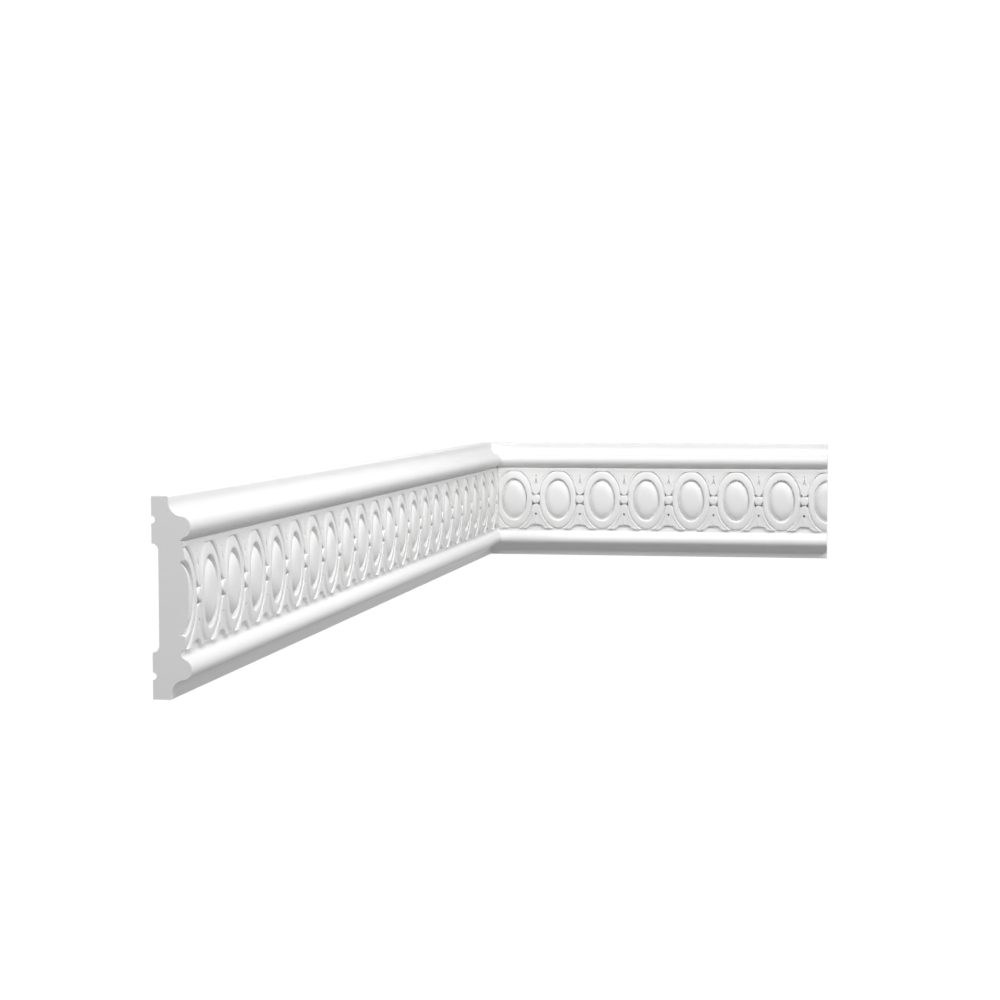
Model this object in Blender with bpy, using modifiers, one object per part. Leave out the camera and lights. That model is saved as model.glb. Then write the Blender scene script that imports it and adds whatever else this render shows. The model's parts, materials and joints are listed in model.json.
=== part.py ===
"""Wall moulding carried round an inside corner: a long and a short length of the same carved rail.

The rail hangs on two walls that meet at a right angle. The long length runs along -Y on the wall that
faces +X, and the short length runs along +X on the wall that faces -Y. They meet in a mitre, and their
outer ends are cut square through the middle of an oval. The origin is on the back of the long length.

Each length is shaped in its own rail frame, X along the rail to the right as seen from the room, Y up
from the bottom edge and Z out of the wall, and then set against its wall.
"""

import math

import bmesh
import bpy
from mathutils import Matrix, Vector

MM = 0.001

# Lengths, from the corner of the walls to the square ends
LONG_LENGTH = 876.6 * MM
SHORT_LENGTH = 308.3 * MM
JOINT_GAP = 0.3 * MM

# Section of the rail
RAIL_HEIGHT = 100.0 * MM
NOSE_DEPTH = 20.0 * MM
GROUND_DEPTH = 14.5 * MM
TOP_FILLET_DEPTH = 8.6 * MM
BOTTOM_FILLET_DEPTH = 9.5 * MM
FILLET_HEIGHT = 2.8 * MM
EDGE_CHAMFER = 0.8 * MM
CAVETTO_DEPTH = 16.2 * MM
QUIRK = 0.5 * MM
TORUS_RADIUS = 5.3 * MM
TORUS_FROM_EDGE = 15.0 * MM
COVE_RADIUS = 3.0 * MM

# Back of the rail, which rests on the wall
HOLLOW_FROM_EDGE = 23.2 * MM
HOLLOW_DEPTH = 3.4 * MM
GLUE_GROOVE_FROM_EDGE = 11.5 * MM
GLUE_GROOVE_RADIUS = 1.9 * MM

# Carved band: one oval, one bead and two leaves to a pitch
PITCH = 39.55 * MM
BAND_MARGIN = 1.2 * MM
BEAD_RADIUS = 3.2 * MM
BEAD_CROWN_RADIUS = 2.4 * MM
BEAD_CROWN_RISE = 1.9 * MM
BEAD_RISE = 2.4 * MM
BEAD_CLEARANCE = 0.18 * MM

# Oval, measured across its narrow side from the outer foot of the ring inwards
RING_BEVEL = 0.7 * MM
RING_WIDTH = 3.4 * MM
GROOVE_WIDTH = 2.6 * MM
DOME_SHOULDER = 3.4 * MM
RING_OUTER_RISE = 1.7 * MM
RING_INNER_RISE = 2.2 * MM
GROOVE_RISE = 0.1 * MM
SHOULDER_RISE = 2.1 * MM
DOME_EDGE_RISE = 3.2 * MM
DOME_RISE = 3.5 * MM

# Leaves above and below the bead
LEAF_RISE = 1.7 * MM
LEAF_CLEARANCE = 0.7 * MM
LEAF_FROM_BEAD = 1.4 * MM
LEAF_TIP_HALF_WIDTH = 1.5 * MM
LEAF_TIP_HEIGHT = 2.4 * MM
FOOT_HALF_WIDTH = 4.8 * MM
FOOT_SLOPE = 3.0 * MM
FOOT_LIFT = 3.6 * MM

# Where the wall holds the long length
MOUNT_FROM_CORNER = 50.0 * MM

# How far a carved piece is sunk into the ground, and what is cut off beyond each end
SINK = 1.0 * MM
OVERRUN = 60.0 * MM

CAVETTO_STEPS = 5
TORUS_STEPS = 9
COVE_STEPS = 3
GROOVE_STEPS = 6
HOLLOW_STEPS = 4
OVAL_STEPS = 16
BEAD_STEPS = 6
SHARP_ANGLE = math.radians(35)
WELD = 0.001 * MM

BAND_MIDDLE = RAIL_HEIGHT / 2


def arc(centre, radii, start, end, steps):
    """Points along an elliptical arc, with the angles in radians."""
    points = []
    for step in range(steps + 1):
        angle = start + (end - start) * step / steps
        points.append((centre[0] + radii[0] * math.cos(angle), centre[1] + radii[1] * math.sin(angle)))
    return points


def torus_centre():
    """Centre of the half-round under each cavetto, as (depth, distance from the rail's edge)."""
    return NOSE_DEPTH - TORUS_RADIUS, TORUS_FROM_EDGE


def cove_centre():
    """Centre of the cove that is tangent to the half-round and to the band's ground."""
    torus_depth, torus_from_edge = torus_centre()
    depth = GROUND_DEPTH + COVE_RADIUS
    reach = TORUS_RADIUS + COVE_RADIUS
    return depth, torus_from_edge + math.sqrt(reach**2 - (depth - torus_depth) ** 2)


def oval_half_width():
    """The ovals fill the pitch, apart from the bead between them."""
    return PITCH / 2 - BEAD_RADIUS - BEAD_CLEARANCE


def oval_half_height():
    return BAND_MIDDLE - cove_centre()[1] - BAND_MARGIN


def mount_height():
    """Middle of the flat strip between the lower glue groove and the hollow."""
    return (GLUE_GROOVE_FROM_EDGE + GLUE_GROOVE_RADIUS + HOLLOW_FROM_EDGE) / 2


def face_profile(fillet_depth):
    """The face from one edge to the carved band, as (depth, distance from the edge)."""
    torus = torus_centre()
    cove = cove_centre()
    torus_start = -math.acos((CAVETTO_DEPTH - torus[0]) / TORUS_RADIUS)
    torus_end = math.atan2(cove[1] - torus[1], cove[0] - torus[0])
    cavetto_end = torus[1] + TORUS_RADIUS * math.sin(torus_start) - QUIRK
    cavetto_radii = (CAVETTO_DEPTH - fillet_depth, cavetto_end - FILLET_HEIGHT)
    points = [(fillet_depth - EDGE_CHAMFER, 0.0), (fillet_depth, EDGE_CHAMFER)]
    points += arc((CAVETTO_DEPTH, FILLET_HEIGHT), cavetto_radii, math.pi, math.pi / 2, CAVETTO_STEPS)
    points += arc(torus, (TORUS_RADIUS, TORUS_RADIUS), torus_start, torus_end, TORUS_STEPS)
    cove_arc = arc(cove, (COVE_RADIUS, COVE_RADIUS), torus_end + math.pi, math.pi, COVE_STEPS)
    return points + cove_arc[1:]


def back_profile():
    """The back from one edge to the hollow's floor, as (depth, distance from the edge)."""
    groove = arc(
        (0.0, GLUE_GROOVE_FROM_EDGE),
        (GLUE_GROOVE_RADIUS, GLUE_GROOVE_RADIUS),
        -math.pi / 2,
        math.pi / 2,
        GROOVE_STEPS,
    )
    hollow = arc(
        (0.0, HOLLOW_FROM_EDGE + HOLLOW_DEPTH),
        (HOLLOW_DEPTH, HOLLOW_DEPTH),
        -math.pi / 2,
        0.0,
        HOLLOW_STEPS,
    )
    return [(0.0, 0.0)] + groove + hollow


def section_outline():
    """The whole section as (depth, height), up the face and down the back."""
    outline = face_profile(BOTTOM_FILLET_DEPTH)
    outline += [(depth, RAIL_HEIGHT - edge) for depth, edge in reversed(face_profile(TOP_FILLET_DEPTH))]
    outline += [(depth, RAIL_HEIGHT - edge) for depth, edge in back_profile()]
    outline += list(reversed(back_profile()))
    return outline


def sunk_foot(foot, slope_width, slope_rise):
    """Where a side that slopes down to its foot on the ground ends, below the ground."""
    return foot + slope_width * SINK / slope_rise, GROUND_DEPTH - SINK


def oval_profile():
    """Ring, groove and dome as (distance from the oval's centre, depth), from the dome's top outwards."""
    foot = oval_half_width()
    ring_outer = foot - RING_BEVEL
    ring_inner = ring_outer - RING_WIDTH
    groove_middle = ring_inner - GROOVE_WIDTH / 2
    shoulder = ring_inner - GROOVE_WIDTH
    dome_edge = shoulder - DOME_SHOULDER
    return [
        (0.0, GROUND_DEPTH + DOME_RISE),
        (dome_edge, GROUND_DEPTH + DOME_EDGE_RISE),
        (shoulder, GROUND_DEPTH + SHOULDER_RISE),
        (groove_middle, GROUND_DEPTH + GROOVE_RISE),
        (ring_inner, GROUND_DEPTH + RING_INNER_RISE),
        (ring_outer, GROUND_DEPTH + RING_OUTER_RISE),
        sunk_foot(foot, RING_BEVEL, RING_OUTER_RISE),
        (0.0, GROUND_DEPTH - SINK),
    ]


def bead_profile():
    """The bead as (distance from its centre, depth), from its top outwards."""
    return [
        (0.0, GROUND_DEPTH + BEAD_RISE),
        (BEAD_CROWN_RADIUS, GROUND_DEPTH + BEAD_CROWN_RISE),
        sunk_foot(BEAD_RADIUS, BEAD_RADIUS - BEAD_CROWN_RADIUS, BEAD_CROWN_RISE),
        (0.0, GROUND_DEPTH - SINK),
    ]


def leaf_edge(base):
    """Points beside the next ring, from the leaf's shoulder to its base, about the bead's centre."""
    half_width = oval_half_width() + LEAF_CLEARANCE
    half_height = oval_half_height() + LEAF_CLEARANCE
    shoulder = BEAD_RADIUS + LEAF_FROM_BEAD + LEAF_TIP_HEIGHT
    first = math.asin(shoulder / half_height)
    last = math.asin(base / half_height)
    half_step = math.pi / OVAL_STEPS
    corners = [2 * half_step * turn for turn in range(1, OVAL_STEPS // 4)]
    angles = [first] + [angle for angle in corners if first + half_step < angle < last] + [last]
    return [(PITCH / 2 - half_width * math.cos(angle), half_height * math.sin(angle)) for angle in angles]


def leaf_outline(has_foot):
    """A leaf that points down at the bead. One that has a foot is cut away across its base."""
    base = oval_half_height()
    half = [(LEAF_TIP_HALF_WIDTH, BEAD_RADIUS + LEAF_FROM_BEAD)] + leaf_edge(base)
    if has_foot:
        half.append((FOOT_HALF_WIDTH + FOOT_SLOPE, base))
        half.append((FOOT_HALF_WIDTH, base - FOOT_LIFT))
    return half + [(-along, up) for along, up in reversed(half)]


def clear_scene():
    for obj in list(bpy.data.objects):
        bpy.data.objects.remove(obj, do_unlink=True)


def collection_named(name):
    collection = bpy.data.collections.new(name)
    bpy.context.scene.collection.children.link(collection)
    return collection


def white_primed_foam():
    material = bpy.data.materials.new("white_primed_foam")
    material.use_nodes = True
    shader = material.node_tree.nodes["Principled BSDF"]
    shader.inputs["Base Color"].default_value = (0.88, 0.88, 0.87, 1.0)
    shader.inputs["Roughness"].default_value = 0.55
    shader.inputs["Metallic"].default_value = 0.0
    return material


def as_cutter(obj):
    obj.hide_render = True
    obj.display_type = "WIRE"
    return obj


def plate_mesh(name, outline, thickness):
    """A flat outline, filled on both sides and extruded evenly about its own plane, as a closed mesh."""
    curve = bpy.data.curves.new(name, "CURVE")
    curve.dimensions = "2D"
    curve.fill_mode = "BOTH"
    curve.extrude = thickness / 2
    spline = curve.splines.new("POLY")
    spline.points.add(len(outline) - 1)
    for point, (x, y) in zip(spline.points, outline):
        point.co = (x, y, 0.0, 1.0)
    spline.use_cyclic_u = True
    guide = bpy.data.objects.new(name, curve)
    bpy.context.scene.collection.objects.link(guide)
    graph = bpy.context.evaluated_depsgraph_get()
    mesh = bpy.data.meshes.new_from_object(guide.evaluated_get(graph))
    bpy.data.objects.remove(guide, do_unlink=True)
    shell = bmesh.new()
    shell.from_mesh(mesh)
    bmesh.ops.remove_doubles(shell, verts=shell.verts, dist=WELD)
    bmesh.ops.recalc_face_normals(shell, faces=shell.faces)
    shell.to_mesh(mesh)
    shell.free()
    return mesh


def repeat(obj, count):
    """Copies of a carved piece, one to a pitch."""
    array = obj.modifiers.new("one to a pitch", "ARRAY")
    array.use_relative_offset = False
    array.use_constant_offset = True
    array.constant_offset_displace = (PITCH, 0.0, 0.0)
    array.count = count
    return obj


def row_of_turned_pieces(name, profile, steps, stretch, place, count, cutters):
    """Turned pieces along the middle of the band, made taller than wide by the stretch."""
    mesh = bpy.data.meshes.new(name)
    edges = [(i, i + 1) for i in range(len(profile) - 1)]
    mesh.from_pydata([(out, 0.0, depth) for out, depth in profile], edges, [])
    obj = bpy.data.objects.new(name, mesh)
    cutters.objects.link(obj)
    screw = obj.modifiers.new("turned", "SCREW")
    screw.steps = steps
    screw.render_steps = steps
    screw.use_merge_vertices = True
    screw.merge_threshold = WELD
    taller = Matrix.Diagonal((1.0, stretch, 1.0, 1.0))
    obj.matrix_world = place @ taller
    return as_cutter(repeat(obj, count))


def row_of_leaves(place, count, pointing_down, cutters):
    mesh = plate_mesh("leaf", leaf_outline(has_foot=not pointing_down), LEAF_RISE + SINK)
    obj = bpy.data.objects.new("leaves", mesh)
    cutters.objects.link(obj)
    middle = GROUND_DEPTH + (LEAF_RISE - SINK) / 2
    turn = Matrix.Identity(4) if pointing_down else Matrix.Rotation(math.pi, 4, "X")
    obj.matrix_world = place @ Matrix.Translation((0.0, 0.0, middle)) @ turn
    return as_cutter(repeat(obj, count))


def block(frame, centre, turn, name, cutters):
    """A cube that cuts off everything past an end. It is larger than the rail's section."""
    mesh = bpy.data.meshes.new(name)
    cube = bmesh.new()
    bmesh.ops.create_cube(cube, size=cutting_size())
    cube.to_mesh(mesh)
    cube.free()
    obj = bpy.data.objects.new(name, mesh)
    cutters.objects.link(obj)
    obj.matrix_world = frame @ Matrix.Translation(centre) @ Matrix.Rotation(turn, 4, "Y")
    return as_cutter(obj)


def cutting_size():
    return 2 * (RAIL_HEIGHT + NOSE_DEPTH + OVERRUN)


def blank(frame, name, length, parts):
    """The plain rail without its carving, longer than the finished length at both ends."""
    mesh = plate_mesh(name, section_outline(), length + 2 * OVERRUN)
    mesh.transform(Matrix.Translation((length / 2, 0.0, 0.0)) @ Matrix.Rotation(-math.pi / 2, 4, "Y"))
    obj = bpy.data.objects.new(name, mesh)
    parts.objects.link(obj)
    obj.matrix_world = frame
    return obj


def combine(obj, other, operation):
    boolean = obj.modifiers.new(f"{operation.lower()} {other.name}", "BOOLEAN")
    boolean.operation = operation
    boolean.object = other
    boolean.solver = "EXACT"


def bake(obj):
    """The finished mesh in place of the modifiers, with its creases sharp and its curves smooth."""
    bpy.context.view_layer.update()
    graph = bpy.context.evaluated_depsgraph_get()
    mesh = bpy.data.meshes.new_from_object(obj.evaluated_get(graph))
    mesh.name = obj.name
    obj.modifiers.clear()
    obj.data = mesh
    mesh.shade_smooth()
    mesh.set_sharp_from_angle(angle=SHARP_ANGLE)


def make_rail(name, length, corner_on_right, frame, material, parts, cutters):
    """One length, carved, cut square at its outer end and mitred at the corner."""
    rail = blank(frame, name, length, parts)
    outer_end = 0.0 if corner_on_right else length
    corner = length if corner_on_right else 0.0
    count = math.ceil(length / PITCH) + 1
    first_oval = outer_end if corner_on_right else outer_end - (count - 1) * PITCH
    oval_place = frame @ Matrix.Translation((first_oval, BAND_MIDDLE, 0.0))
    bead_place = oval_place @ Matrix.Translation((PITCH / 2, 0.0, 0.0))
    leaf_place = oval_place @ Matrix.Translation((-PITCH / 2, 0.0, 0.0))
    tall = oval_half_height() / oval_half_width()
    rows = [
        row_of_turned_pieces("ovals", oval_profile(), OVAL_STEPS, tall, oval_place, count, cutters),
        row_of_turned_pieces("beads", bead_profile(), BEAD_STEPS, 1.0, bead_place, count - 1, cutters),
        row_of_leaves(leaf_place, count + 1, True, cutters),
        row_of_leaves(leaf_place, count + 1, False, cutters),
    ]
    for row in rows:
        combine(rail, row, "UNION")

    to_corner = 1.0 if corner_on_right else -1.0
    half_block = cutting_size() / 2
    end_centre = Vector((outer_end - to_corner * half_block, BAND_MIDDLE, 0.0))
    combine(rail, block(frame, end_centre, 0.0, "square end", cutters), "DIFFERENCE")
    facing = Vector((to_corner, 0.0, 1.0)).normalized()
    mitre_centre = Vector((corner, BAND_MIDDLE, 0.0)) + facing * (half_block - JOINT_GAP / 2)
    combine(rail, block(frame, mitre_centre, math.pi / 4, "mitre", cutters), "DIFFERENCE")

    bake(rail)
    rail.data.materials.clear()
    rail.data.materials.append(material)
    return rail


def main():
    clear_scene()
    parts = collection_named("corner_moulding")
    cutters = collection_named("cutters")
    material = white_primed_foam()
    origin = Vector((0.0, -MOUNT_FROM_CORNER, mount_height()))
    upright = Matrix.Rotation(math.pi / 2, 4, "X")
    corner = Matrix.Translation(-origin)
    turned = Matrix.Rotation(math.pi / 2, 4, "Z")
    long_frame = corner @ Matrix.Translation((0.0, -LONG_LENGTH, 0.0)) @ turned @ upright
    short_frame = corner @ upright
    make_rail("long_length", LONG_LENGTH, True, long_frame, material, parts, cutters)
    make_rail("short_length", SHORT_LENGTH, False, short_frame, material, parts, cutters)
    for obj in list(cutters.objects):
        bpy.data.objects.remove(obj, do_unlink=True)


main()
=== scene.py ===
# %% [markdown]
# This lesson dresses a wall moulding that is carried round an inside corner. It was carved once as a
# pattern, cast in a dense light foam and primed white. The construction model already gives the two
# lengths their real size and place, and it comes in first as a frame that nothing here moves.

# %% Load the construction model
import json
import math

import bmesh
import bpy
from mathutils import Matrix, Vector

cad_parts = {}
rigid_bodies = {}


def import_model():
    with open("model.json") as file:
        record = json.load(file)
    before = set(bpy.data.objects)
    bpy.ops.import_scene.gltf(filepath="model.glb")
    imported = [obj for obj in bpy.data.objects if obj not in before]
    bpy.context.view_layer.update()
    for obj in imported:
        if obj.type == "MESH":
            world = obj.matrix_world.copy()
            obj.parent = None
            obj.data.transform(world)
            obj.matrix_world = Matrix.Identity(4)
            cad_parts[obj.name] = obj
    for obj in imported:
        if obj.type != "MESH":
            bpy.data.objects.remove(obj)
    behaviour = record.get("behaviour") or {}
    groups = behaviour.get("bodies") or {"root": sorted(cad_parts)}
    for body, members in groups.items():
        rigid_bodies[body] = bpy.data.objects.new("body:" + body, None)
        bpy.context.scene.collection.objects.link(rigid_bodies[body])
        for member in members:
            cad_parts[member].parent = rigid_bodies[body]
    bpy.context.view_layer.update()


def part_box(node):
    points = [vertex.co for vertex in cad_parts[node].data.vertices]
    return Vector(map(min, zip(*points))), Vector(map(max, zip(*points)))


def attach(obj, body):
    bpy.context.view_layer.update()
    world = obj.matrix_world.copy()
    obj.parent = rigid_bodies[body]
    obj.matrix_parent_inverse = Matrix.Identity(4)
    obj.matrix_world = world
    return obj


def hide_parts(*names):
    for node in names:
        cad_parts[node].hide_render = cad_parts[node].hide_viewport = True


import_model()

# %% [markdown]
# A rail is drawn by its section, so the sizes that the construction model already settles are read from
# it: how far each length runs from the corner of the walls, and how tall the rail is. The work below is
# done in millimetres, as on the drawing of a moulding, and becomes metres when a length is put in place.

# %% Read the sizes of the two lengths
METRE = 1000.0
long_low, long_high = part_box("long_length")
short_low, short_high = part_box("short_length")
WALL_CORNER = Vector((long_low.x, short_high.y, long_low.z))
LONG_LENGTH = (WALL_CORNER.y - long_low.y) * METRE
SHORT_LENGTH = (short_high.x - WALL_CORNER.x) * METRE
RAIL_HEIGHT = (long_high.z - long_low.z) * METRE
BAND_MIDDLE = RAIL_HEIGHT / 2
JOINT_GAP = 0.3
print(f"Long {LONG_LENGTH:.1f} mm, short {SHORT_LENGTH:.1f} mm, height {RAIL_HEIGHT:.1f} mm")

# %% [markdown]
# The camera stands where the photographer's did: in front of the short length, left of its middle and
# a little above it, looking slightly down. A long lens keeps the far end of the long length from
# growing too small. Setting the camera first fixes what has to look right.

# %% Camera
CAMERA_PLACE = Vector((0.345997, -1.788275, 0.138023))
CAMERA_LENS = 74.44
CAMERA_PITCH = -3.3165
CAMERA_ROLL = -0.068
CAMERA_YAW = 10.1915

camera_data = bpy.data.cameras.new("camera")
camera_data.lens = CAMERA_LENS
camera_data.sensor_width = 36.0
camera = bpy.data.objects.new("camera", camera_data)
bpy.context.scene.collection.objects.link(camera)
camera.location = CAMERA_PLACE
looking = Matrix.Rotation(math.radians(CAMERA_YAW), 4, "Z")
looking = looking @ Matrix.Rotation(math.radians(90.0 + CAMERA_PITCH), 4, "X")
looking = looking @ Matrix.Rotation(math.radians(CAMERA_ROLL), 4, "Z")
camera.rotation_euler = looking.to_euler()
bpy.context.scene.camera = camera
print(f"Camera at {tuple(camera.location)}, lens {CAMERA_LENS} mm")

# %% [markdown]
# The plain part of a moulding is one section pushed along a straight line. From each edge this section
# has a small fillet, a hollow curve (a cavetto), a half-round (a torus) and a tight cove that runs into
# the flat ground of the carved band. The two halves mirror each other, apart from the depth of the
# fillet. The torus and the cove touch without a kink, so the light rolls over them as it does on the
# cast, and the cavetto meets the torus at a slight crease.

# %% Sizes of the section
NOSE_DEPTH = 20.0
GROUND_DEPTH = 14.5
TOP_FILLET_DEPTH = 8.6
BOTTOM_FILLET_DEPTH = 9.5
FILLET_HEIGHT = 2.8
EDGE_RADIUS = 0.8
CAVETTO_DEPTH = 16.2
TORUS_RADIUS = 5.3
TORUS_FROM_EDGE = 15.0
COVE_RADIUS = 3.0
HOLLOW_FROM_EDGE = 23.2
HOLLOW_DEPTH = 3.4
GLUE_GROOVE_FROM_EDGE = 11.5
GLUE_GROOVE_RADIUS = 1.9
EDGE_STEPS = 4
CAVETTO_STEPS = 14
TORUS_STEPS = 24
COVE_STEPS = 7
GROOVE_STEPS = 12
HOLLOW_STEPS = 8


def arc(centre, radii, start, end, steps):
    """Points along an elliptical arc, with the angles in radians."""
    angles = [start + (end - start) * step / steps for step in range(steps + 1)]
    return [(centre[0] + radii[0] * math.cos(a), centre[1] + radii[1] * math.sin(a)) for a in angles]


def face_profile(fillet_depth):
    """The face from one edge to the band, as (depth, distance from the edge)."""
    torus = (NOSE_DEPTH - TORUS_RADIUS, TORUS_FROM_EDGE)
    cove_depth = GROUND_DEPTH + COVE_RADIUS
    reach = TORUS_RADIUS + COVE_RADIUS
    cove = (cove_depth, torus[1] + math.sqrt(reach**2 - (cove_depth - torus[0]) ** 2))
    torus_start = -math.acos((CAVETTO_DEPTH - torus[0]) / TORUS_RADIUS)
    torus_end = math.atan2(cove[1] - torus[1], cove[0] - torus[0])
    cavetto_end = torus[1] + TORUS_RADIUS * math.sin(torus_start)
    cavetto_radii = (CAVETTO_DEPTH - fillet_depth, cavetto_end - FILLET_HEIGHT)
    edge_centre = (fillet_depth - EDGE_RADIUS, EDGE_RADIUS)
    points = arc(edge_centre, (EDGE_RADIUS, EDGE_RADIUS), -math.pi / 2, 0.0, EDGE_STEPS)
    points += arc((CAVETTO_DEPTH, FILLET_HEIGHT), cavetto_radii, math.pi, math.pi / 2, CAVETTO_STEPS)
    points += arc(torus, (TORUS_RADIUS, TORUS_RADIUS), torus_start, torus_end, TORUS_STEPS)[1:]
    points += arc(cove, (COVE_RADIUS, COVE_RADIUS), torus_end + math.pi, math.pi, COVE_STEPS)[1:]
    return points


def back_profile():
    """The back from one edge to the floor of the hollow, as (depth, distance from the edge)."""
    groove_radii = (GLUE_GROOVE_RADIUS, GLUE_GROOVE_RADIUS)
    groove = arc((0.0, GLUE_GROOVE_FROM_EDGE), groove_radii, -math.pi / 2, math.pi / 2, GROOVE_STEPS)
    hollow_centre = (0.0, HOLLOW_FROM_EDGE + HOLLOW_DEPTH)
    hollow = arc(hollow_centre, (HOLLOW_DEPTH, HOLLOW_DEPTH), -math.pi / 2, 0.0, HOLLOW_STEPS)
    return [(0.0, 0.0)] + groove + hollow


def other_edge(points):
    """The same points measured from the opposite edge, in the opposite order."""
    return [(depth, RAIL_HEIGHT - edge) for depth, edge in reversed(points)]


def section_outline():
    """The whole section as (depth, height), up the face and down the back."""
    face = face_profile(BOTTOM_FILLET_DEPTH) + other_edge(face_profile(TOP_FILLET_DEPTH))
    back = list(reversed(other_edge(back_profile()))) + list(reversed(back_profile()))
    return face + back


section = section_outline()
print(f"Section of {len(section)} points, {max(depth for depth, height in section):.2f} mm deep")

# %% [markdown]
# The carving repeats, so only one tile of it is worth making: one oval in its ring, with half a bead
# and half of each leaf on both sides. The tile itself is symmetric, so half of it is carved, from the
# middle of an oval to the middle of a bead, and the other half comes from a mirror.
# In the rail's own frame X runs along the rail, Y up from its bottom edge and Z out of the wall.

# %% The bench where the tile is made
PITCH = 39.55
BENCH = bpy.data.collections.new("bench")
bpy.context.scene.collection.children.link(BENCH)


def on_bench(name, mesh):
    obj = bpy.data.objects.new(name, mesh)
    BENCH.objects.link(obj)
    return obj


def baked(obj):
    """The object's mesh with its modifiers and its place applied."""
    graph = bpy.context.evaluated_depsgraph_get()
    mesh = bpy.data.meshes.new_from_object(obj.evaluated_get(graph))
    mesh.transform(obj.matrix_world)
    return mesh


def closed(mesh, weld):
    """Merges doubled points and turns the faces outwards."""
    shell = bmesh.new()
    shell.from_mesh(mesh)
    bmesh.ops.remove_doubles(shell, verts=shell.verts, dist=weld)
    bmesh.ops.recalc_face_normals(shell, faces=shell.faces)
    shell.to_mesh(mesh)
    shell.free()
    return mesh


def open_edges(mesh):
    """How many edges don't have exactly two faces: none on a closed solid."""
    shell = bmesh.new()
    shell.from_mesh(mesh)
    count = sum(1 for edge in shell.edges if len(edge.link_faces) != 2)
    shell.free()
    return count


# %% [markdown]
# The blank of the tile is the section as a flat filled curve, given a thickness and stood up so that
# it runs along X. It is a little longer than the half tile at both ends, and trimmed later.

# %% The blank
WELD = 0.002
BLANK_SPARE = 2.0


def plain_blank():
    curve = bpy.data.curves.new("section", "CURVE")
    curve.dimensions = "2D"
    curve.fill_mode = "BOTH"
    curve.extrude = PITCH / 4 + BLANK_SPARE
    spline = curve.splines.new("POLY")
    spline.points.add(len(section) - 1)
    for point, (depth, height) in zip(spline.points, section):
        point.co = (depth, height, 0.0, 1.0)
    spline.use_cyclic_u = True
    guide = on_bench("section guide", curve)
    guide.matrix_world = Matrix.Translation((PITCH / 4, 0.0, 0.0)) @ Matrix.Rotation(-math.pi / 2, 4, "Y")
    bpy.context.view_layer.update()
    mesh = closed(baked(guide), WELD)
    bpy.data.objects.remove(guide, do_unlink=True)
    return on_bench("tile", mesh)


tile = plain_blank()
print(f"Blank: {len(tile.data.polygons)} faces, {open_edges(tile.data)} open edges")

# %% [markdown]
# The oval is turned work in spirit: a smooth dome that falls faster and faster towards its rim, a deep
# groove round it, and a ring whose face slopes outwards from a crest beside the groove. A profile of
# that, spun with a Screw modifier and then stretched upwards, gives an oval with the right proportions
# all round. The dome and the ring's face follow a formula each, so their curves stay fair.

# %% Oval, groove and ring
RING_FOOT = 16.5
RING_TOP = 26.0
RING_INNER = 11.85
RING_EDGE = 16.45
RING_RISE = 2.3
RING_FALL = 0.65
RING_ROUNDNESS = 8.0
RING_LIP = 0.45
GROOVE_OUTER = 11.55
DOME_EDGE = 10.95
GROOVE_RISE = 0.0
DOME_RISE = 3.5
DOME_POWER = 4.7
SINK = 1.0
OVAL_STEPS = 68
DOME_STEPS = 11
DOME_SPACING = 0.62
LIP_POINTS = ((0.0, 0.0), (-0.1, 0.6))
RING_SHARES = (0.09, 0.3, 0.55, 0.75, 0.86, 0.93, 0.97, 0.99, 1.0)


def dome_rise(radius):
    return GROOVE_RISE + (DOME_RISE - GROOVE_RISE) * (1.0 - (radius / DOME_EDGE) ** DOME_POWER)


def ring_rise(radius):
    across = (radius - RING_INNER) / (RING_EDGE - RING_INNER)
    slope = RING_RISE - RING_FALL * across
    return slope * math.sqrt(max(0.0, 1.0 - across**RING_ROUNDNESS))


def oval_profile():
    """(distance from the middle, rise over the ground), from the top of the dome outwards."""
    dome_radii = [DOME_EDGE * (step / DOME_STEPS) ** DOME_SPACING for step in range(DOME_STEPS + 1)]
    points = [(radius, dome_rise(radius)) for radius in dome_radii]
    points.append((GROOVE_OUTER, GROOVE_RISE))
    lip_start = ring_rise(RING_INNER) - RING_LIP
    points += [(RING_INNER - out, lip_start + RING_LIP * up) for out, up in LIP_POINTS]
    ring_radii = [RING_INNER + (RING_EDGE - RING_INNER) * share for share in RING_SHARES]
    points += [(radius, ring_rise(radius)) for radius in ring_radii]
    points += [(RING_EDGE, -SINK), (0.0, -SINK)]
    return points


def turned(name, profile, steps, stretch, centre):
    """A profile spun round its middle, stretched upwards and set on the ground of the band."""
    mesh = bpy.data.meshes.new(name)
    edges = [(i, i + 1) for i in range(len(profile) - 1)]
    mesh.from_pydata([(radius, 0.0, rise) for radius, rise in profile], edges, [])
    obj = on_bench(name, mesh)
    screw = obj.modifiers.new("turned", "SCREW")
    screw.steps = screw.render_steps = steps
    screw.use_merge_vertices = True
    screw.merge_threshold = WELD
    place = Matrix.Translation((centre[0], BAND_MIDDLE + centre[1], GROUND_DEPTH))
    obj.matrix_world = place @ Matrix.Diagonal((1.0, stretch, 1.0, 1.0))
    bpy.context.view_layer.update()
    finished = closed(baked(obj), WELD)
    bpy.data.objects.remove(obj, do_unlink=True)
    return on_bench(name, finished)


oval = turned("oval", oval_profile(), OVAL_STEPS, RING_TOP / RING_FOOT, (0.0, 0.0))
print(f"Oval: {len(oval.data.polygons)} faces, {open_edges(oval.data)} open edges")

# %% [markdown]
# Between two rings sits a bead, a low round button with a full top that the rings just touch. Its
# profile is part of a superellipse, which stays flat in the middle and turns down late.

# %% Bead
BEAD_RADIUS = 3.72
BEAD_RISE = 2.3
BEAD_UP = 0.3
BEAD_POWER = 6.0
BEAD_AXIS = PITCH / 2
BEAD_STEPS = 28
BEAD_PROFILE_STEPS = 8


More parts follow.
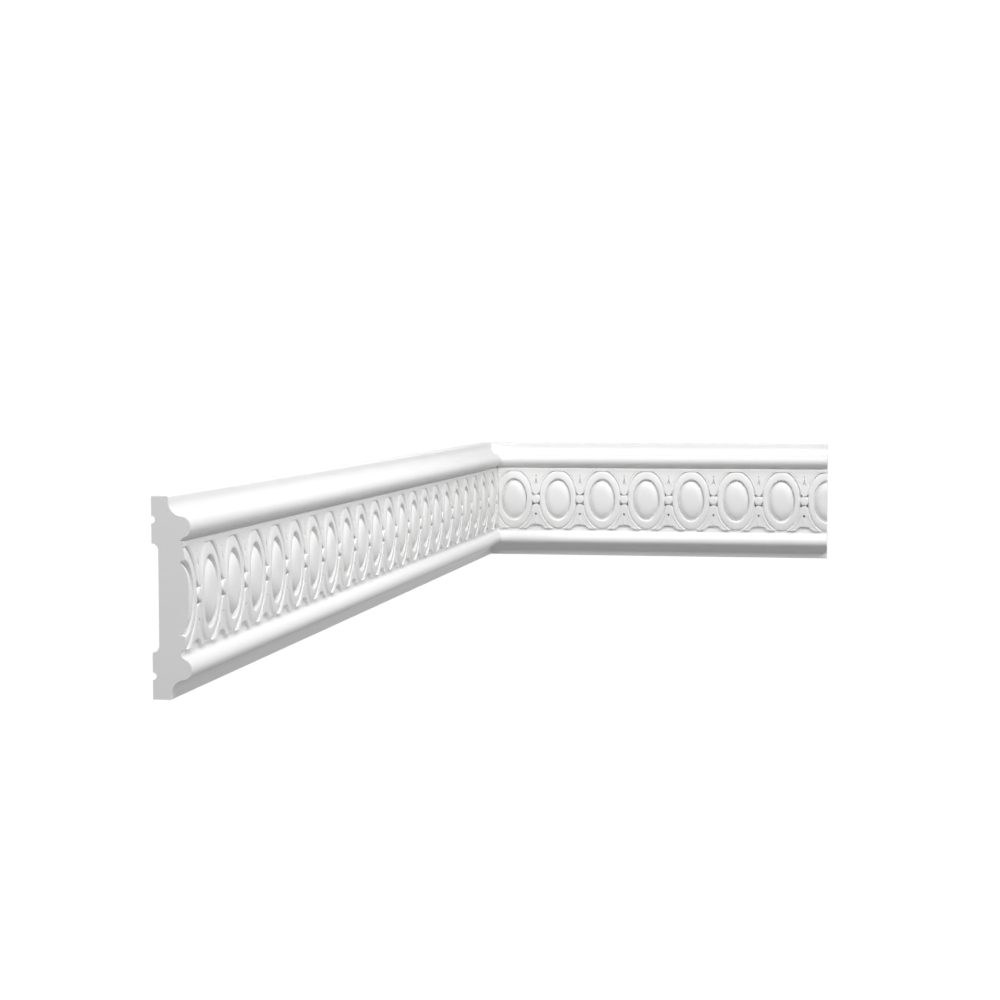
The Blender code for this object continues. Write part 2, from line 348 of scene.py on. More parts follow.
def bead_profile():
    angles = [math.pi / 2 * step / BEAD_PROFILE_STEPS for step in range(BEAD_PROFILE_STEPS + 1)]
    power = 2.0 / BEAD_POWER
    points = [(BEAD_RADIUS * math.sin(a) ** power, BEAD_RISE * max(0.0, math.cos(a)) ** power)
              for a in angles]
    return points + [(BEAD_RADIUS, -SINK), (0.0, -SINK)]


bead = turned("bead", bead_profile(), BEAD_STEPS, 1.0, (BEAD_AXIS, BEAD_UP))
print(f"Bead: {len(bead.data.polygons)} faces, {open_edges(bead.data)} open edges")

# %% [markdown]
# A leaf fills the space above the bead, and another the space below it. Each has a rounded tip beside
# the bead and widens away from it, and a husk wraps its side: a thin rib that follows the ring round,
# with a sharp line on either side of it. The rib is the part with a rule. It lies between two ellipses
# about the oval's middle, so a point of it has a place across the rib and an angle round the oval.
# A grid whose columns follow the rib and then spread to the leaf's middle keeps both lines crisp.

# %% The plan of a leaf
HUSK_SIDE = 2.72
HUSK_TOP = 1.9
UPPER_TIP = (4.5, 8.15, 1.2, 4.2)
LOWER_TIP = (4.0, 5.3, 0.3, 3.5)
HUSK_END = 4.5
UPPER_BASE = 27.1
LOWER_BASE = 25.8
NOTCH_BASE = 22.3
NOTCH_FROM = 4.1
NOTCH_TO = 8.3
HUSK_COLUMNS = (-0.1, 0.14, 0.23, 0.31, 0.4, 0.6, 0.8, 0.9, 0.96, 1.0)
LEAF_ROWS = (0.0, 0.012, 0.03, 0.06, 0.1, 0.15, 0.2, 0.26, 0.32, 0.38, 0.44, 0.5, 0.56, 0.62, 0.68, 0.74,
             0.79, 0.84, 0.88, 0.92, 0.95, 0.972, 0.989, 1.0)


def smooth(low, high, value):
    """Goes gently from 0 to 1 as the value goes from low to high."""
    share = min(1.0, max(0.0, (value - low) / (high - low)))
    return share * share * (3.0 - 2.0 * share)


def husk_point(across, angle):
    """A point of the rib, from the bead's axis and the band's middle. Across is 0 at the ring."""
    half_width = RING_FOOT + HUSK_SIDE * across
    half_height = RING_TOP + HUSK_TOP * across
    return BEAD_AXIS - half_width * math.cos(angle), half_height * math.sin(angle)


def husk_angle(across, up):
    """The angle at which a line of the rib reaches a height."""
    return math.asin(min(1.0, up / (RING_TOP + HUSK_TOP * across)))


def tip_height(out, upper):
    """The end of the leaf beside the bead: flat in its middle, then rising to a shoulder at the ring."""
    lowest, shoulder, start, end = UPPER_TIP if upper else LOWER_TIP
    return lowest + (shoulder - lowest) * smooth(start, end, abs(out))


def base_height(out, upper):
    """The end of the leaf away from the bead. The lower leaf is notched in its middle."""
    if upper:
        return UPPER_BASE
    return NOTCH_BASE + (LOWER_BASE - NOTCH_BASE) * smooth(NOTCH_FROM, NOTCH_TO, out)


def husk_base(across, upper):
    """The height at which a line of the rib ends, rounded off towards the ring."""
    full = UPPER_BASE if upper else LOWER_BASE
    at_ring = RING_TOP * math.sqrt(1.0 - (HUSK_END / RING_FOOT) ** 2)
    return full - (full - at_ring) * (1.0 - min(1.0, max(0.0, across))) ** 3


def husk_end(across, upper, row):
    """The angle of a row on a line of the rib, from where the line crosses the tip to its base."""
    first = 0.0
    for step in range(6):
        first = husk_angle(across, tip_height(husk_point(across, first)[0], upper))
    last = husk_angle(across, husk_base(across, upper))
    return first + (last - first) * row


rib_tip = husk_point(1.0, husk_end(1.0, True, 0.0))
rib_base = husk_point(1.0, husk_end(1.0, True, 1.0))
print("Rib's outer line, first and last point:", rib_tip, rib_base)

# %% [markdown]
# The height of each point comes from what it lies on. The rib drops towards the ring, has its crest a
# little way out and falls again to the line beside the leaf. That line fades out before the tip. The
# leaf is nearly level, with its rim rounded over. At the top of the band the carving melts into the
# cove, and at the bottom it stops with a sharp edge, which is why the band looks lit from its top.

# %% The relief of a leaf
LEAF_RISE = 1.8
RING_LINE = 1.3
RING_LINE_WALL = (0.17, 0.42)
LEAF_LINE = 0.6
LEAF_LINE_FROM = 0.78
LINE_FADES = (10.5, 16.0)
TIP_ROUND = 0.5
BASE_ROUND = 0.35
VEIN_RISE = 0.4
VEIN_HALF = 0.95
VEIN_FROM = 15.2
VEIN_TO = 22.0
VEIN_START_LENGTH = 1.5
VEIN_END_LENGTH = 0.8


def rib_drop(across, up):
    """How far the rib lies under the leaf's level."""
    to_ring = 1.0 - smooth(*RING_LINE_WALL, across)
    to_leaf = max(0.0, across - LEAF_LINE_FROM) / (1.0 - LEAF_LINE_FROM)
    return RING_LINE * to_ring + LEAF_LINE * to_leaf**1.5 * smooth(*LINE_FADES, up)


def edge_drop(distance, radius):
    """A quarter round at a rim, from the distance to it."""
    inside = min(1.0, max(0.0, distance / radius))
    return radius * (1.0 - math.sqrt(1.0 - (1.0 - inside) ** 2))


def leaf_rise(out, up, drop, from_tip, from_base, upper):
    rise = LEAF_RISE - drop - edge_drop(from_tip, TIP_ROUND)
    if upper:
        return rise
    vein = max(0.0, 1.0 - (out / VEIN_HALF) ** 2) * smooth(VEIN_FROM, VEIN_FROM + VEIN_START_LENGTH, up)
    vein *= 1.0 - smooth(VEIN_TO - VEIN_END_LENGTH, VEIN_TO, up)
    return rise + VEIN_RISE * vein - edge_drop(from_base, BASE_ROUND)


print(f"Leaf {LEAF_RISE:.2f} mm high, its inner line {LEAF_RISE - rib_drop(1.0, VEIN_TO):.2f} mm")

# %% [markdown]
# Now the grid itself. A row runs from the ring across the rib and on to the leaf's axis. Its first and
# last rows bend to follow the tip and the base, and the bend fades in the rows between. The underside
# is the same grid sunk below the ground, and a strip of faces round the rim closes the solid.

# %% Build the leaves
LINE_STEPS = (0.15, 0.4)
AXIS_STEPS = (0.0, 0.5, 1.0)
UPPER_MIDDLE_STEPS = 3
LOWER_MIDDLE_STEPS = 6
BEND_POWER = 5
TIP_ROWS = 0.3
NEAR_SHARE = 0.12
FAR_SHARE = 0.16


def leaf_columns(span, upper):
    """Distances from the rib's outer line to the axis, close together where the relief turns."""
    steps = UPPER_MIDDLE_STEPS if upper else LOWER_MIDDLE_STEPS
    near = [min(step, span * NEAR_SHARE * (i + 1)) for i, step in enumerate(LINE_STEPS)]
    far = [span - min(step, span * FAR_SHARE * i) for i, step in enumerate(AXIS_STEPS)]
    gap = far[-1] - near[-1]
    middle = [near[-1] + gap * (i + 1) / (steps + 1) for i in range(steps)]
    return near + middle + list(reversed(far))


def row_length(upper):
    return (UPPER_BASE if upper else NOTCH_BASE) - tip_height(0.0, upper)


def leaf_row(row, upper):
    """One row of (out, up, drop) from the ring to the leaf's axis."""
    points = []
    for across in HUSK_COLUMNS:
        out, up = husk_point(across, husk_end(across, upper, row))
        points.append((out, up, rib_drop(across, up)))
    line_out, line_up = points[-1][:2]
    tip = tip_height(0.0, upper)
    axis_up = tip + row_length(upper) * row
    start_up = husk_point(1.0, husk_end(1.0, upper, 0.0))[1]
    end_out, end_up = husk_point(1.0, husk_end(1.0, upper, 1.0))
    for step in leaf_columns(line_out, upper):
        share = step / line_out
        out = line_out - step
        up = line_up + (axis_up - line_up) * share
        tip_bend = tip_height(out, upper) - (start_up + (tip - start_up) * share)
        straight = end_up + (tip + row_length(upper) - end_up) * share
        base_bend = base_height(end_out * (1.0 - share), upper) - straight
        up += tip_bend * (1.0 - row) ** BEND_POWER * (row < TIP_ROWS) + base_bend * row**BEND_POWER
        fade = max(0.0, 1.0 - step / LINE_STEPS[-1])
        points.append((out, up, LEAF_LINE * fade**2 * smooth(*LINE_FADES, up)))
    return points


def leaf_mesh(upper):
    grid = []
    for row in LEAF_ROWS:
        from_tip = row * row_length(upper)
        from_base = (1.0 - row) * row_length(upper)
        half = [(out, up, leaf_rise(out, up, drop, from_tip, from_base, upper))
                for out, up, drop in leaf_row(row, upper)]
        grid.append(half + [(-out, up, rise) for out, up, rise in reversed(half[:-1])])
    width = len(grid[0])
    top = [point for line in grid for point in line]
    points = top + [(out, up, -SINK) for out, up, rise in top]
    under = len(top)
    faces = []
    for j in range(len(grid) - 1):
        for i in range(width - 1):
            a = j * width + i
            faces.append((a, a + 1, a + width + 1, a + width))
            faces.append((under + a, under + a + width, under + a + width + 1, under + a + 1))
    rim = list(range(width)) + [j * width + width - 1 for j in range(1, len(grid))]
    rim += [len(top) - 1 - i for i in range(1, width)] + [j * width for j in range(len(grid) - 2, 0, -1)]
    faces += [(a, b, under + b, under + a) for a, b in zip(rim, rim[1:] + rim[:1])]
    mesh = bpy.data.meshes.new("leaf")
    mesh.from_pydata(points, [], faces)
    facing = 1.0 if upper else -1.0
    mesh.transform(Matrix.Translation((BEAD_AXIS, BAND_MIDDLE, GROUND_DEPTH))
                   @ Matrix.Diagonal((1.0, facing, 1.0, 1.0)))
    return closed(mesh, WELD)


upper_leaf = on_bench("upper leaf", leaf_mesh(upper=True))
lower_leaf = on_bench("lower leaf", leaf_mesh(upper=False))
for leaf in (upper_leaf, lower_leaf):
    print(f"{leaf.name}: {len(leaf.data.polygons)} faces, {open_edges(leaf.data)} open edges")

# %% [markdown]
# Above the rings and leaves the band ends in a level strip, just below the upper cove, which the lines
# round the ring run into. It is a bar along the rail, drawn as a small section like the rail itself.

# %% The strip below the upper cove
STRIP_SECTION = ((25.0, -SINK), (25.1, 1.5), (25.6, 1.83), (27.5, 1.9), (28.0, 1.5), (28.2, -SINK))


def level_strip():
    half = PITCH / 4 + BLANK_SPARE
    count = len(STRIP_SECTION)
    points = [(PITCH / 4 + side * half, BAND_MIDDLE + up, GROUND_DEPTH + rise)
              for side in (-1.0, 1.0) for up, rise in STRIP_SECTION]
    faces = [(i, (i + 1) % count, count + (i + 1) % count, count + i) for i in range(count)]
    faces += [tuple(range(count)), tuple(range(count, 2 * count))]
    mesh = bpy.data.meshes.new("strip")
    mesh.from_pydata(points, [], faces)
    return on_bench("strip", closed(mesh, WELD))


strip = level_strip()
print(f"Strip: {len(strip.data.polygons)} faces, {open_edges(strip.data)} open edges")

# %% [markdown]
# The carver's last strokes are cuts. A drill sank one small round hole in each lower leaf, and shallow
# pits beside the bead, where the leaves meet the rings. Four strokes of a chisel split the upper leaf:
# two down its middle, one after the other, and two that part from the longer of these. A chisel leaves
# a pointed trough, and a stretched octahedron cuts exactly that.

# %% Chisel strokes and drilled holes
HOLE_UP = -12.7
HOLE_RADIUS = 1.0
HOLE_DEPTH = 4.0
HOLE_TAPER = 0.25
STROKES = (
    ((0.0, 22.2), (0.0, 20.2), 0.75, 1.8),
    ((0.0, 20.0), (0.0, 14.4), 0.7, 2.1),
    ((0.2, 18.0), (1.35, 12.7), 0.6, 2.0),
    ((-0.2, 18.0), (-1.35, 12.7), 0.6, 2.0),
)
PITS = ((-2.6, 5.0), (-2.7, -4.0))
PIT_RADIUS = 0.95
PIT_DEPTH = 1.4


def chisel_stroke(start, end, half_width, depth):
    """A pointed trough from one place of the leaf to another, as (along, up) from the bead's axis."""
    start, end = Vector(start), Vector(end)
    middle = (start + end) / 2
    along = end - start
    mesh = bpy.data.meshes.new("stroke")
    cutter = bmesh.new()
    bmesh.ops.create_uvsphere(cutter, u_segments=4, v_segments=2, radius=1.0)
    cutter.to_mesh(mesh)
    cutter.free()
    place = Matrix.Translation((BEAD_AXIS + middle.x, BAND_MIDDLE + middle.y, GROUND_DEPTH + LEAF_RISE))
    turn = Matrix.Rotation(math.atan2(along.y, along.x), 4, "Z")
    mesh.transform(place @ turn @ Matrix.Diagonal((along.length / 2, half_width, depth, 1.0)))
    return on_bench("stroke", closed(mesh, WELD))


def drilled_hole(along, up, level, radius, depth):
    """A hole that narrows downwards, from a level over the ground."""
    mesh = bpy.data.meshes.new("hole")
    cutter = bmesh.new()
    bmesh.ops.create_cone(cutter, cap_ends=True, segments=14, radius1=radius * (1.0 - HOLE_TAPER),
                          radius2=radius * (1.0 + HOLE_TAPER), depth=2 * depth)
    cutter.to_mesh(mesh)
    cutter.free()
    mesh.transform(Matrix.Translation((BEAD_AXIS + along, BAND_MIDDLE + up, GROUND_DEPTH + level)))
    return on_bench("hole", closed(mesh, WELD))


cuts = [chisel_stroke(*stroke) for stroke in STROKES]
cuts.append(drilled_hole(0.0, HOLE_UP, LEAF_RISE, HOLE_RADIUS, HOLE_DEPTH))
cuts += [drilled_hole(along, up, 0.0, PIT_RADIUS, PIT_DEPTH) for along, up in PITS]
print(f"{len(cuts)} cuts in the leaves")

# %% [markdown]
# The band isn't flat. It swells a little towards its middle, as a cushion does, so the beads and the
# leaf tips stand further out than the carving near the coves. The swelling is laid over the finished
# carving. The dome takes less than half of it, and the bottom of the groove takes none.

# %% The swelling of the band
SWELL = 1.75
SWELL_REACH = 24.0
OVAL_SHARE = 0.45


def swell(along, up, rise):
    """How far a point of the band is lifted, from its place beside the oval's middle."""
    across_band = (up / SWELL_REACH) ** 2
    if across_band >= 1.0 or rise < -SINK:
        return 0.0
    lift = SWELL * (1.0 - across_band) ** 1.5
    radius = math.hypot(along, up * RING_FOOT / RING_TOP)
    outside = smooth(RING_INNER, RING_EDGE, radius)
    inside_share = OVAL_SHARE * smooth(0.0, 1.5, rise)
    return lift * (inside_share + (1.0 - inside_share) * outside)


def swollen(mesh):
    for vert in mesh.vertices:
        vert.co.z += swell(vert.co.x, vert.co.y - BAND_MIDDLE, vert.co.z - GROUND_DEPTH)
    return mesh


print(f"Lift at a bead {swell(BEAD_AXIS, 0.0, BEAD_RISE):.2f} mm")
print(f"Lift at a dome's top {swell(0.0, 0.0, DOME_RISE):.2f} mm")

# %% [markdown]
# One cast has one skin, so the pieces are joined with exact Booleans, which leave a crisp line where
# two surfaces meet, and the strokes are then cut away. After that the block is trimmed at the middle of
# the oval and at the middle of the bead, swells, and a Mirror modifier makes the whole tile.

# %% Join, trim and mirror the tile


def combine(obj, other, operation):
    boolean = obj.modifiers.new(f"{operation.lower()} {other.name}", "BOOLEAN")
    boolean.operation = operation
    boolean.solver = "EXACT"
    boolean.object = other


def trimmed(mesh, place, keep_towards):
    """Cuts off what lies on the far side of a plane and leaves the cut open."""
    shell = bmesh.new()
    shell.from_mesh(mesh)
    everything = shell.verts[:] + shell.edges[:] + shell.faces[:]
    bmesh.ops.bisect_plane(shell, geom=everything, dist=WELD, plane_co=place,
                           plane_no=-Vector(keep_towards), clear_outer=True)
    shell.to_mesh(mesh)
    shell.free()
    return mesh


def finished_tile():
    for part in (oval, upper_leaf, lower_leaf, bead, strip):
        combine(tile, part, "UNION")
    for cut in cuts:
        combine(tile, cut, "DIFFERENCE")
    bpy.context.view_layer.update()
    mesh = baked(tile)
    print(f"Joined: {len(mesh.polygons)} faces, {open_edges(mesh)} open edges")
    mesh = trimmed(mesh, (0.0, 0.0, 0.0), (1.0, 0.0, 0.0))
    mesh = trimmed(mesh, (BEAD_AXIS, 0.0, 0.0), (-1.0, 0.0, 0.0))
    tile.modifiers.clear()
    tile.data = swollen(mesh)
    mirror = tile.modifiers.new("other half", "MIRROR")
    mirror.merge_threshold = WELD
    bpy.context.view_layer.update()
    whole = baked(tile)
    tile.modifiers.clear()
    tile.data = whole
    return tile


tile = finished_tile()
tile.data.calc_loop_triangles()
print(f"Tile: {len(tile.data.loop_triangles)} triangles")

# %% [markdown]
# Real mouldings have a finish with two layers to it. The skin is a white primer, sprayed on and matt,
# with a very fine grain and a slight drag along the rail. Where a length is cut, the foam itself shows:
# grey, closed-celled and without any shine. Shader maths reads best as plain expressions, so a small
# class wraps a socket and lets Python's operators add the Math nodes.

# %% Shader maths


class Wire:
    """A socket of a finish that can be added to, multiplied and subtracted."""

    def __init__(self, finish, socket):
        self.finish = finish
        self.socket = socket

    def maths(self, operation, first, second):
        return self.finish.node("ShaderNodeMath", {"operation": operation}, {0: first, 1: second})

    def __add__(self, other):
        return self.maths("ADD", self, other)

    def __sub__(self, other):
        return self.maths("SUBTRACT", self, other)

    def __rsub__(self, other):
        return self.maths("SUBTRACT", other, self)

    def __mul__(self, other):
        return self.maths("MULTIPLY", self, other)

    __radd__ = __add__
    __rmul__ = __mul__


class Finish:
    """A material with its node tree."""

    def __init__(self, name):
        self.material = bpy.data.materials.new(name)
        self.material.use_nodes = True
        self.tree = self.material.node_tree
        self.shader = self.tree.nodes["Principled BSDF"]

    def node(self, kind, settings=None, values=None, output=0):
        """A node of a kind, with its settings made first and then its sockets filled or linked."""
        made = self.tree.nodes.new(kind)
        for setting, value in (settings or {}).items():
            setattr(made, setting, value)
        for socket, value in (values or {}).items():
            self.feed(made.inputs[socket], value)
        return Wire(self, made.outputs[output])

    def feed(self, socket, value):
        if isinstance(value, Wire):
            self.tree.links.new(value.socket, socket)
        else:
            socket.default_value = value

    def surface(self, **values):
        for name, value in values.items():
            self.feed(self.shader.inputs[name.replace("_", " ")], value)

    def blend(self, factor, first, second):
        mix = self.tree.nodes.new("ShaderNodeMix")
        mix.data_type = "RGBA"
        self.feed(mix.inputs["Factor"], factor)
        self.feed(mix.inputs["A"], first)
        self.feed(mix.inputs["B"], second)
        colours = [socket for socket in mix.outputs if socket.type == "RGBA"]
        return Wire(self, colours[0])


print("Shader maths ready")

# %% [markdown]
# The primer's white is never one flat value. Broad soft patches shift it a little, a fine grain breaks
# the light, and faint streaks run along the rail, the way a trowelled mould leaves them. Each length
# gets its own copy of the finish, because the streaks run along Y on one and along X on the other.

# %% White primer
PRIMER_LIGHT = (0.90, 0.90, 0.895, 1.0)
PRIMER_SHADE = (0.84, 0.84, 0.838, 1.0)
PRIMER_ROUGHNESS = 0.5
GRAIN_PER_METRE = 1500.0
PATCHES_PER_METRE = 28.0
STREAKS_PER_METRE = 900.0
STREAK_STRETCH = 0.03


def white_primer(name, along):
    finish = Finish(name)
    place = finish.node("ShaderNodeTexCoord", output="Object")
    patches = finish.node("ShaderNodeTexNoise", {},
                          {"Vector": place, "Scale": PATCHES_PER_METRE, "Detail": 3.0})
    grain = finish.node("ShaderNodeTexNoise", {}, {"Vector": place, "Scale": GRAIN_PER_METRE, "Detail": 2.0})
    stretch = [1.0, 1.0, 1.0]
    stretch[along] = STREAK_STRETCH
    drawn_out = finish.node("ShaderNodeMapping", {}, {"Vector": place, "Scale": stretch})
    streaks = finish.node("ShaderNodeTexNoise", {},
                          {"Vector": drawn_out, "Scale": STREAKS_PER_METRE, "Detail": 2.0})
    tone = patches * 0.7 + streaks * 0.3
    colour = finish.blend(tone, PRIMER_SHADE, PRIMER_LIGHT)
    height = grain * 0.6 + streaks * 0.4
    bump = finish.node("ShaderNodeBump", {}, {"Height": height, "Strength": 0.25, "Distance": 0.00006})
    finish.surface(Base_Color=colour, Roughness=PRIMER_ROUGHNESS + (grain - 0.5) * 0.12, Normal=bump)
    finish.shader.inputs["Specular IOR Level"].default_value = 0.35
    return finish.material


long_primer = white_primer("white_primer_long", along=1)
short_primer = white_primer("white_primer_short", along=0)
print("Primers:", long_primer.name, short_primer.name)

# %% [markdown]
# A saw opens the foam's cells. They are far too small to model, so a fine noise darkens and pits the
# cut face, and the colour wanders slightly from place to place.

# %% Cut foam
FOAM_LIGHT = (0.48, 0.48, 0.48, 1.0)
FOAM_DARK = (0.39, 0.39, 0.395, 1.0)
CELLS_PER_METRE = 2600.0


def cut_foam():
    finish = Finish("cut_foam")
    place = finish.node("ShaderNodeTexCoord", output="Object")
    cells = finish.node("ShaderNodeTexNoise", {}, {"Vector": place, "Scale": CELLS_PER_METRE, "Detail": 2.0})
    drift = finish.node("ShaderNodeTexNoise", {}, {"Vector": place, "Scale": 60.0, "Detail": 2.0})
    tone = cells * 0.5 + drift * 0.5
    bump = finish.node("ShaderNodeBump", {}, {"Height": cells, "Strength": 0.4, "Distance": 0.0001})
    finish.surface(Base_Color=finish.blend(tone, FOAM_DARK, FOAM_LIGHT), Roughness=0.9, Normal=bump)
    return finish.material


foam = cut_foam()
print("Foam:", foam.name)

# %% [markdown]
# A row of tiles is a job for Geometry Nodes: a line of points one pitch apart, the tile on each point,
# and neighbouring tiles welded where they meet. The pitch, the number of tiles and the finish are
# inputs, so the same tree serves both lengths. Realize Instances turns the copies into real mesh.

# %% The tree that lays tiles in a row


def row_tree():
    tree = bpy.data.node_groups.new("row of tiles", "GeometryNodeTree")
    tree.interface.new_socket("Geometry", in_out="INPUT", socket_type="NodeSocketGeometry")
    tree.interface.new_socket("Tiles", in_out="INPUT", socket_type="NodeSocketInt")
    tree.interface.new_socket("Pitch", in_out="INPUT", socket_type="NodeSocketFloat")
    tree.interface.new_socket("Weld", in_out="INPUT", socket_type="NodeSocketFloat")
    tree.interface.new_socket("Finish", in_out="INPUT", socket_type="NodeSocketMaterial")
    tree.interface.new_socket("Geometry", in_out="OUTPUT", socket_type="NodeSocketGeometry")
    given = tree.nodes.new("NodeGroupInput")
    step = tree.nodes.new("ShaderNodeCombineXYZ")
    line = tree.nodes.new("GeometryNodeMeshLine")
    copies = tree.nodes.new("GeometryNodeInstanceOnPoints")
    real = tree.nodes.new("GeometryNodeRealizeInstances")
    weld = tree.nodes.new("GeometryNodeMergeByDistance")
    paint = tree.nodes.new("GeometryNodeSetMaterial")
    result = tree.nodes.new("NodeGroupOutput")
    links = (
        (given.outputs["Pitch"], step.inputs["X"]),
        (step.outputs["Vector"], line.inputs["Offset"]),
        (given.outputs["Tiles"], line.inputs["Count"]),
        (line.outputs["Mesh"], copies.inputs["Points"]),
        (given.outputs["Geometry"], copies.inputs["Instance"]),
        (copies.outputs["Instances"], real.inputs["Geometry"]),
        (real.outputs["Geometry"], weld.inputs["Geometry"]),
        (given.outputs["Weld"], weld.inputs["Distance"]),
        (weld.outputs["Geometry"], paint.inputs["Geometry"]),
        (given.outputs["Finish"], paint.inputs["Material"]),
        (paint.outputs["Geometry"], result.inputs["Geometry"]),
    )
    for source, target in links:
        tree.links.new(source, target)
    return tree


ROW_TREE = row_tree()
print(f"Row tree with {len(ROW_TREE.nodes)} nodes")


# %% Lay a row
def row_of_tiles(count, finish):
    """The tiles side by side, the first with the middle of its oval at X = 0, as one plain mesh."""
    obj = on_bench("row", tile.data.copy())
    modifier = obj.modifiers.new("row of tiles", "NODES")
    modifier.node_group = ROW_TREE
    given = {"Tiles": count, "Pitch": PITCH, "Weld": WELD, "Finish": finish}
    for item in ROW_TREE.interface.items_tree:
        if item.in_out == "INPUT" and item.name in given:
            modifier[item.identifier] = given[item.name]
    bpy.context.view_layer.update()
    mesh = baked(obj)
    bpy.data.objects.remove(obj, do_unlink=True)
    return mesh


print("A length is laid from whole tiles and then sawn")

# %% [markdown]
# A fitter saws a moulding twice: square at its free end, here through the middle of an oval, and at
# forty-five degrees in the corner, wherever in the pattern that falls. Each saw cut trims the mesh at a
# plane and fills the open edge with flat faces, and those faces get the finish of bare foam.

# %% Saw the lengths
CREASE = math.radians(30)
AT_CUT = 10 * WELD


def sawn(mesh, place, keep_towards):
    mesh = trimmed(mesh, place, keep_towards)
    shell = bmesh.new()
    shell.from_mesh(mesh)
    rim = [edge for edge in shell.edges if edge.is_boundary]
    direction = Vector(keep_towards).normalized()
    at_cut = [edge for edge in rim
              if all(abs((vert.co - Vector(place)).dot(direction)) < AT_CUT for vert in edge.verts)]
    filled = bmesh.ops.triangle_fill(shell, use_beauty=True, edges=at_cut)
    for item in filled["geom"]:
        if isinstance(item, bmesh.types.BMFace):
            item.material_index = 1
            item.smooth = False
    bmesh.ops.recalc_face_normals(shell, faces=shell.faces)
    shell.to_mesh(mesh)
    shell.free()
    return mesh


def rail(name, length, corner_on_right, frame_matrix, finish):
    """A length of the moulding in its place on the wall."""
    count = math.ceil(length / PITCH) + 1
    mesh = row_of_tiles(count, finish)
    first_oval = 0.0 if corner_on_right else length - (count - 1) * PITCH
    mesh.transform(Matrix.Translation((first_oval, 0.0, 0.0)))
    to_corner = 1.0 if corner_on_right else -1.0
    outer_end, corner = (0.0, length) if corner_on_right else (length, 0.0)
    facing = Vector((to_corner, 0.0, 1.0)).normalized()
    mesh = sawn(mesh, (outer_end, 0.0, 0.0), (to_corner, 0.0, 0.0))
    mesh = sawn(mesh, Vector((corner, 0.0, 0.0)) - facing * JOINT_GAP / 2, -facing)
    mesh.materials.clear()
    mesh.materials.append(finish)
    mesh.materials.append(foam)
    mesh.transform(frame_matrix @ Matrix.Scale(1.0 / METRE, 4))
    mesh.shade_smooth()
    mesh.set_sharp_from_angle(angle=CREASE)
    mesh.name = name
    obj = bpy.data.objects.new(name, mesh)
    bpy.context.scene.collection.objects.link(obj)
    mesh.calc_loop_triangles()
    print(f"{name}: {len(mesh.loop_triangles)} triangles, {open_edges(mesh)} open edges")
    return obj


at_corner = Matrix.Translation(WALL_CORNER)
upright = Matrix.Rotation(math.pi / 2, 4, "X")
turned_left = Matrix.Rotation(math.pi / 2, 4, "Z")
long_frame = at_corner @ Matrix.Translation((0.0, -LONG_LENGTH / METRE, 0.0)) @ turned_left @ upright
short_frame = at_corner @ upright
long_rail = rail("long_length_cast", LONG_LENGTH, True, long_frame, long_primer)
short_rail = rail("short_length_cast", SHORT_LENGTH, False, short_frame, short_primer)

# %% [markdown]
# The bench has done its work and is cleared. Each cast length now takes the place of its plain solid
# in the construction model and rides on the same body.

# %% Hand the lengths to the frame
for obj in list(BENCH.objects):
    bpy.data.objects.remove(obj, do_unlink=True)
bpy.data.collections.remove(BENCH)

for piece, node in ((long_rail, "long_length"), (short_rail, "short_length")):
    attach(piece, "root")
    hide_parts(node)
    print(f"{piece.name} stands for {node}")

# %% [markdown]
# White on white only reads when the light has a direction. The object hangs above a pale round floor,
# in air that glows a little from everywhere. Behind it a white backdrop glows, and the studio is bright
# on its right. Both are part of the world's light, so they need no mesh: a smooth step on the
# direction's Y makes the backdrop, one on X makes the bright side, and one on Z lets both fade upwards.

# %% The studio
FLOOR_HEIGHT = -1.3
FLOOR_RADIUS = 3.0
FLOOR_CENTRE = (0.15, -0.4)
AIR_GLOW = 0.22
BACKDROP_GLOW = 0.8
SIDE_GLOW = 0.3
BACKDROP_STEP = ("Y", 0.55, 0.85)
SIDE_STEP = ("X", 0.1, 0.6)
FADE_STEP = ("Z", 0.42, 0.24)


def floor_paint():
    finish = Finish("floor_paint")
    place = finish.node("ShaderNodeTexCoord", output="Object")
    drift = finish.node("ShaderNodeTexNoise", {}, {"Vector": place, "Scale": 0.7})
    colour = finish.blend(drift, (0.69, 0.69, 0.69, 1.0), (0.71, 0.71, 0.71, 1.0))
    finish.surface(Base_Color=colour, Roughness=0.9)
    return finish.material


def studio_floor():
    mesh = bpy.data.meshes.new("floor")
    disc = bmesh.new()
    bmesh.ops.create_circle(disc, cap_ends=True, segments=96, radius=FLOOR_RADIUS)
    disc.to_mesh(mesh)
    disc.free()
    mesh.transform(Matrix.Translation((FLOOR_CENTRE[0], FLOOR_CENTRE[1], FLOOR_HEIGHT)))
    mesh.materials.append(floor_paint())
    obj = bpy.data.objects.new("floor", mesh)
    bpy.context.scene.collection.objects.link(obj)
    return obj


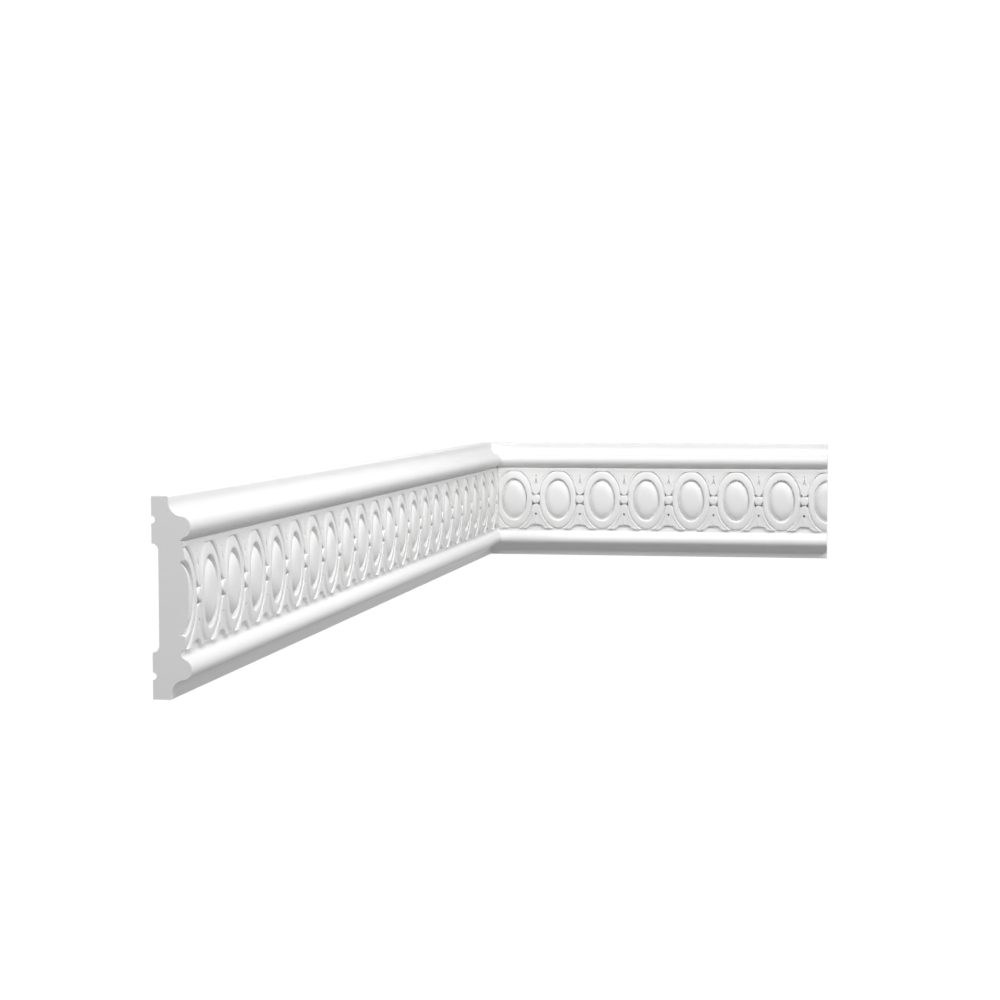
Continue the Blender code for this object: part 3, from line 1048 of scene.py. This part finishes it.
def studio_air():
    world = bpy.data.worlds.new("studio_air")
    world.use_nodes = True
    nodes, links = world.node_tree.nodes, world.node_tree.links
    direction = nodes.new("ShaderNodeTexCoord")
    split = nodes.new("ShaderNodeSeparateXYZ")
    links.new(direction.outputs["Generated"], split.inputs[0])

    def step(axis, start, end):
        made = nodes.new("ShaderNodeMapRange")
        made.interpolation_type = "SMOOTHSTEP"
        made.inputs["From Min"].default_value = start
        made.inputs["From Max"].default_value = end
        links.new(split.outputs[axis], made.inputs["Value"])
        return made.outputs[0]

    def multiply_add(first, second, third):
        made = nodes.new("ShaderNodeMath")
        made.operation = "MULTIPLY_ADD"
        for socket, value in zip(made.inputs, (first, second, third)):
            if isinstance(value, float):
                socket.default_value = value
            else:
                links.new(value, socket)
        return made.outputs[0]

    side = multiply_add(step(*SIDE_STEP), SIDE_GLOW, 0.0)
    both = multiply_add(step(*BACKDROP_STEP), BACKDROP_GLOW, side)
    glow = multiply_add(both, step(*FADE_STEP), AIR_GLOW)
    links.new(glow, nodes["Background"].inputs["Strength"])
    nodes["Background"].inputs["Color"].default_value = (1.0, 1.0, 1.0, 1.0)
    bpy.context.scene.world = world
    return world


studio_floor()
studio_air()
bpy.context.scene.view_settings.view_transform = "Standard"
print(f"Floor at {FLOOR_HEIGHT} m, backdrop {AIR_GLOW + BACKDROP_GLOW:.2f} bright")

# %% [markdown]
# Two soft lights do the modelling, both high and in front on the right, so that each oval is bright on
# its right shoulder and its groove is dark below the light. A weaker one on the left opens the shade.
# Their spread is narrowed, as with a honeycomb grid, so that the floor keeps out of it.

# %% Lights
LIGHT_TARGET = (0.12, -0.35, 0.03)
LIGHT_SPREAD = 1.2
LIGHTS = (
    ("front_light", (0.6, -1.9, 1.9), 0.7, 3.6),
    ("right_light", (1.3, -1.3, 1.9), 0.7, 4.8),
    ("left_light", (-0.9, -1.5, 1.7), 1.2, 2.4),
)


def soft_light(name, place, size, power):
    data = bpy.data.lights.new(name, "AREA")
    data.shape = "DISK"
    data.size = size
    data.spread = LIGHT_SPREAD
    data.energy = power
    light = bpy.data.objects.new(name, data)
    bpy.context.scene.collection.objects.link(light)
    light.location = place
    light.rotation_euler = (Vector(LIGHT_TARGET) - Vector(place)).to_track_quat("-Z", "Y").to_euler()
    return light


for settings in LIGHTS:
    soft_light(*settings)
print(f"{len(LIGHTS)} lights")
